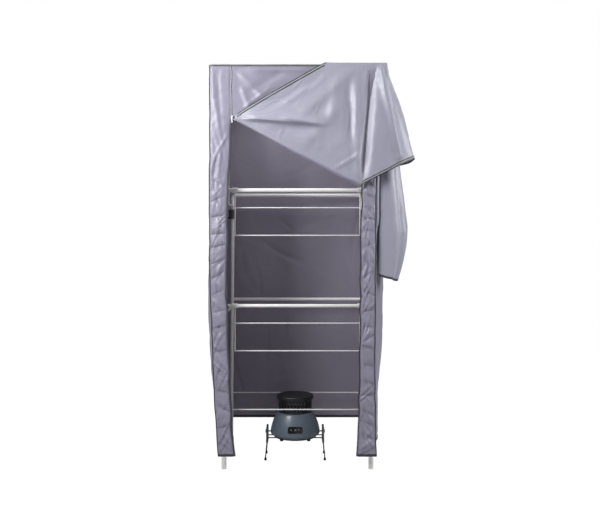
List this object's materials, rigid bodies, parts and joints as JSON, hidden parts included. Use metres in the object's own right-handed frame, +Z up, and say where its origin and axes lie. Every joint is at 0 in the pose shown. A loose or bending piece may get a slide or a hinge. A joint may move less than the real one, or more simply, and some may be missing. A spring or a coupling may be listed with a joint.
{
  "type": "drying cabinet",
  "caption": "Zipped cloth drying cabinet over a tube airer with fold-up wings, its door thrown back, and a fan heater on a wire stand below.",
  "frame": {"origin": "on the floor, at the middle of the footprint including the door thrown over the right side", "axes": "+Z up, -Y towards the open front, +X to the right seen from the front"},
  "size_m": [0.8554, 0.5136, 1.6563],
  "materials": {
    "tube": "satin white powder coat",
    "wire": "satin pale grey coat",
    "white_plastic": "moulded, slight sheen",
    "grey_plastic": "moulded, fine grain",
    "cover_cloth": "coated woven polyester with a soft sheen",
    "binding": "dark woven tape",
    "zip_metal": "bright plated",
    "slate_plastic": "satin moulded",
    "black_plastic": "fine grain",
    "window_gloss": "polished",
    "key_plastic": "satin",
    "black_rubber": "matte",
    "motor_steel": "turned",
    "ceramic": "dry ceramic",
    "stand_wire": "satin dark coat"
  },
  "bodies": {
    "cabinet": {"front_frame": "tube", "rear_frame": "tube", "front_mid_bar": "tube", "rear_mid_bar": "tube", "front_low_rung": "wire", "rear_low_rung": "wire", "side_rails_left": "tube", "side_rails_right": "tube", "foot_caps": "white_plastic", "frame_clamps": "grey_plastic", "roof_post_front_left": "tube", "roof_post_front_right": "tube", "roof_post_rear_left": "tube", "roof_post_rear_right": "tube", "roof_hubs": "grey_plastic", "roof_rail_front": "tube", "roof_rail_rear": "tube", "roof_rails_side": "tube", "hanging_rail": "tube", "cover_roof": "cover_cloth", "roof_piping": "binding", "cover_left": "cover_cloth", "cover_right": "cover_cloth", "cover_back": "cover_cloth", "front_flap_left": "cover_cloth", "front_flap_right": "cover_cloth", "door_panel": "cover_cloth", "zip_tape_left": "binding", "zip_tape_right": "binding"},
    "wing_upper": {"wing_upper": "wire"},
    "wing_middle": {"wing_middle": "wire"},
    "slider_left": {"zip_slider_left": "zip_metal"},
    "slider_right": {"zip_slider_right": "zip_metal"},
    "pull_left": {"zip_pull_left": "zip_metal"},
    "pull_right": {"zip_pull_right": "zip_metal"},
    "heater": {"heater_shell": "slate_plastic", "heater_base": "black_plastic", "heater_feet": "black_rubber", "outlet_neck": "black_plastic", "outlet_cap": "black_plastic", "control_window": "window_gloss", "fan_motor": "motor_steel", "heat_element": "ceramic", "power_inlet": "black_plastic", "stand_bracket_left": "grey_plastic", "stand_bracket_right": "grey_plastic", "stand_rods": "stand_wire", "side_bolts": "motor_steel"},
    "key_power": {"key_power": "key_plastic"},
    "key_timer": {"key_timer": "key_plastic"},
    "key_heat": {"key_heat": "key_plastic"},
    "fan": {"fan_rotor": "black_plastic"},
    "leg_left": {"stand_leg_left": "stand_wire", "leg_tips_left": "black_rubber"},
    "leg_right": {"stand_leg_right": "stand_wire", "leg_tips_right": "black_rubber"}
  },
  "joints": [
    {"name": "wing_upper_fold", "type": "hinge", "parent": "cabinet", "child": "wing_upper", "pos_m": [-0.04915, -0.16498, 1.148], "axis": [1, 0, 0], "range_deg": [0, 90]},
    {"name": "wing_middle_fold", "type": "hinge", "parent": "cabinet", "child": "wing_middle", "pos_m": [-0.04915, -0.16498, 0.672], "axis": [1, 0, 0], "range_deg": [0, 90]},
    {"name": "zip_left_run", "type": "slide", "parent": "cabinet", "child": "slider_left", "axis": [0, 0, 1], "range_m": [0, 0.16]},
    {"name": "zip_right_run", "type": "slide", "parent": "cabinet", "child": "slider_right", "axis": [0, 0, 1], "range_m": [0, 0.3]},
    {"name": "pull_left_swing", "type": "hinge", "parent": "slider_left", "child": "pull_left", "pos_m": [-0.31415, -0.23119, 1.443], "axis": [-1, 0, 0], "range_deg": [0, 150]},
    {"name": "pull_right_swing", "type": "hinge", "parent": "slider_right", "child": "pull_right", "pos_m": [0.21585, -0.23119, 1.178], "axis": [-1, 0, 0], "range_deg": [0, 12]},
    {"name": "heater_shift", "type": "slide", "parent": "cabinet", "child": "heater", "axis": [0, -1, 0], "range_m": [-0.06, 0.06]},
    {"name": "fan_spin", "type": "hinge", "parent": "heater", "child": "fan", "pos_m": [-0.05915, 0.01001, 0.144], "axis": [0, 0, 1], "continuous": true},
    {"name": "key_power_press", "type": "slide", "parent": "heater", "child": "key_power", "axis": [0, 0.965, -0.2621], "range_m": [0, 0.001], "stiffness_N_per_m": 300},
    {"name": "key_timer_press", "type": "slide", "parent": "heater", "child": "key_timer", "axis": [0, 0.965, -0.2621], "range_m": [0, 0.001], "stiffness_N_per_m": 300},
    {"name": "key_heat_press", "type": "slide", "parent": "heater", "child": "key_heat", "axis": [0, 0.965, -0.2621], "range_m": [0, 0.001], "stiffness_N_per_m": 300},
    {"name": "leg_left_fold", "type": "hinge", "parent": "heater", "child": "leg_left", "pos_m": [-0.18015, 0.01001, 0.076], "axis": [0, -1, 0], "range_deg": [0, 80]},
    {"name": "leg_right_fold", "type": "hinge", "parent": "heater", "child": "leg_right", "pos_m": [0.06185, 0.01001, 0.076], "axis": [0, 1, 0], "range_deg": [0, 80]}
  ]
}
